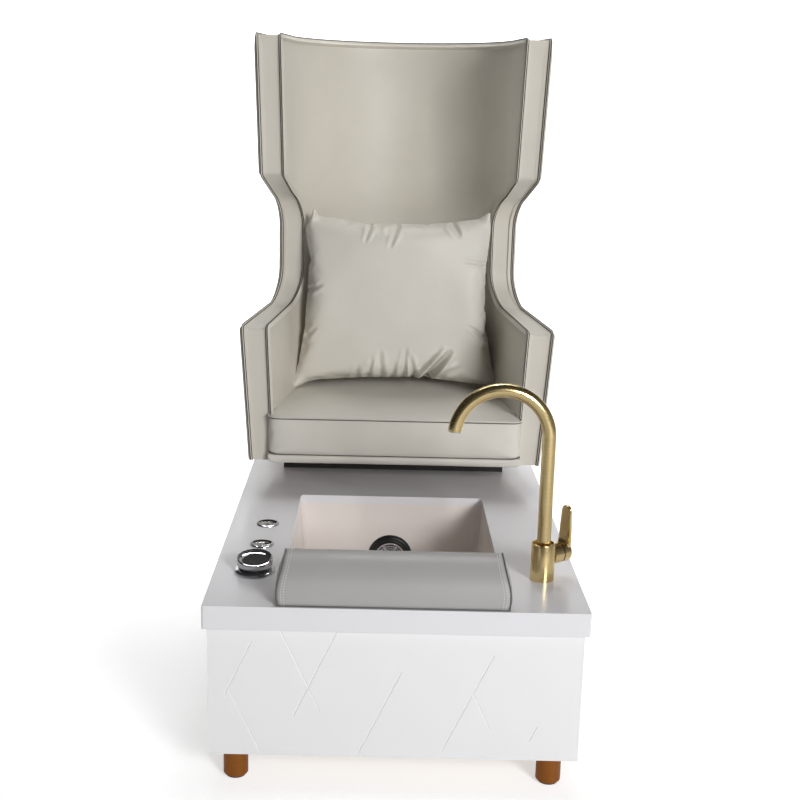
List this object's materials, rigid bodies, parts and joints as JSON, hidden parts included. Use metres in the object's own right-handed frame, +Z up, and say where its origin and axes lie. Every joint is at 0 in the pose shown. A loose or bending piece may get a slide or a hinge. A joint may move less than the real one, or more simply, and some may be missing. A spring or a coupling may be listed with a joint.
{
  "type": "pedicure spa chair",
  "caption": "Barrel-backed wing chair on a long white plinth with a rectangular foot tub, water jet, gooseneck swivel tap, footrest pad, push buttons and a drain knob.",
  "frame": {"origin": "middle of the footprint, on the floor", "axes": "+Z up, -Y towards the front where the feet go in, +X towards the tap's side"},
  "size_m": [0.768, 1.42, 1.49],
  "materials": {
    "worktop_gloss": "gloss white solid surface",
    "panel_lacquer": "white lacquered board",
    "tub_acrylic": "gloss warm white acrylic",
    "birch_ply": "bare plywood",
    "dark_wood": "dark stained board",
    "bronze_leg": "satin bronze",
    "zinc_steel": "zinc plated",
    "chrome": "polished",
    "brushed_gold": "brushed gold",
    "brass": "bare brass",
    "braided_steel": "braided",
    "black_plastic": "matt black",
    "grey_plastic": "matt grey",
    "black_rubber": "matt",
    "motor_paint": "enamelled",
    "webbing": "woven elastic",
    "greige_leather": "smooth faux leather",
    "grey_leather": "smooth faux leather"
  },
  "bodies": {
    "base": {"worktop": "worktop_gloss", "front_panel": "panel_lacquer", "side_panel_left": "panel_lacquer", "side_panel_right": "panel_lacquer", "rear_panel": "panel_lacquer", "access_cover": "panel_lacquer", "panel_screws": "zinc_steel", "base_board": "birch_ply", "corner_posts": "birch_ply", "chair_bearers": "birch_ply", "leg_front_left": "bronze_leg", "leg_front_right": "bronze_leg", "leg_rear_left": "bronze_leg", "leg_rear_right": "bronze_leg", "leg_plates": "zinc_steel", "leg_glides": "black_rubber", "tub": "tub_acrylic", "drain_body": "chrome", "drain_nut": "black_plastic", "waste_pipe": "grey_plastic", "jet_body": "black_plastic", "jet_nut": "black_plastic", "jet_cover": "chrome", "jet_motor": "motor_paint", "control_box": "grey_plastic", "power_gland": "black_plastic", "button_bezels": "chrome", "button_bellows_front": "black_rubber", "button_bellows_rear": "black_rubber", "neck_nuts": "black_plastic", "knob_flange": "chrome", "drain_cable": "black_rubber", "tap_body": "brushed_gold", "tap_cartridge": "black_plastic", "tap_nut": "brass", "supply_hoses": "braided_steel", "supply_inlets": "brass", "footrest_board": "birch_ply", "footrest_pad": "grey_leather", "chair_riser": "dark_wood", "riser_bolts": "zinc_steel", "seat_frame": "birch_ply", "seat_webbing": "webbing", "seat_rail": "greige_leather", "seat_cushion": "greige_leather", "shell_frame": "birch_ply", "shell_cover": "greige_leather", "shell_lining": "greige_leather", "shell_border": "greige_leather"},
    "spout": {"tap_spout": "brushed_gold", "tap_aerator": "chrome"},
    "stem": {"mixer_stem": "brass"},
    "lever": {"mixer_lever": "brushed_gold"},
    "front_button": {"button_cap_front": "chrome"},
    "rear_button": {"button_cap_rear": "chrome"},
    "knob": {"drain_knob": "chrome", "knob_drum": "black_plastic"},
    "plug": {"drain_plug": "chrome"},
    "impeller": {"jet_impeller": "grey_plastic"},
    "loose_pillow": {"pillow": "greige_leather"}
  },
  "joints": [
    {"name": "spout_swivel", "type": "hinge", "parent": "base", "child": "spout", "pos_m": [0.3, -0.528, 0.5], "axis": [0, 0, 1], "range_deg": [-90, 90]},
    {"name": "mixer_turn", "type": "hinge", "parent": "base", "child": "stem", "pos_m": [0.3, -0.528, 0.438], "axis": [0.809, 0.5878, 0], "range_deg": [-35, 35]},
    {"name": "mixer_tilt", "type": "hinge", "parent": "stem", "child": "lever", "pos_m": [0.3449, -0.49538, 0.438], "axis": [-0.5878, 0.809, 0], "range_deg": [0, 15]},
    {"name": "front_button_press", "type": "slide", "parent": "base", "child": "front_button", "axis": [0, 0, -1], "range_m": [0, 0.0035], "stiffness_N_per_m": 1100, "springref_m": -0.003, "deforming": ["button_bellows_front"]},
    {"name": "rear_button_press", "type": "slide", "parent": "base", "child": "rear_button", "axis": [0, 0, -1], "range_m": [0, 0.0035], "stiffness_N_per_m": 1100, "springref_m": -0.003, "deforming": ["button_bellows_rear"]},
    {"name": "drain_knob_turn", "type": "hinge", "parent": "base", "child": "knob", "pos_m": [-0.291, -0.514, 0.4], "axis": [0, 0, 1], "range_deg": [0, 90]},
    {"name": "plug_lift", "type": "slide", "parent": "base", "child": "plug", "axis": [0, 0, 1], "range_m": [0, 0.012]},
    {"name": "impeller_spin", "type": "hinge", "parent": "base", "child": "impeller", "pos_m": [-0.006, 0.011, 0.233], "axis": [0, 1, 0], "continuous": true},
    {"name": "pillow_lift", "type": "slide", "parent": "base", "child": "loose_pillow", "axis": [0, 0, 1], "range_m": [0, 0.25]}
  ],
  "couplings": [
    {"joint": "plug_lift", "follows": "drain_knob_turn", "m_per_rad": 0.007635}
  ]
}
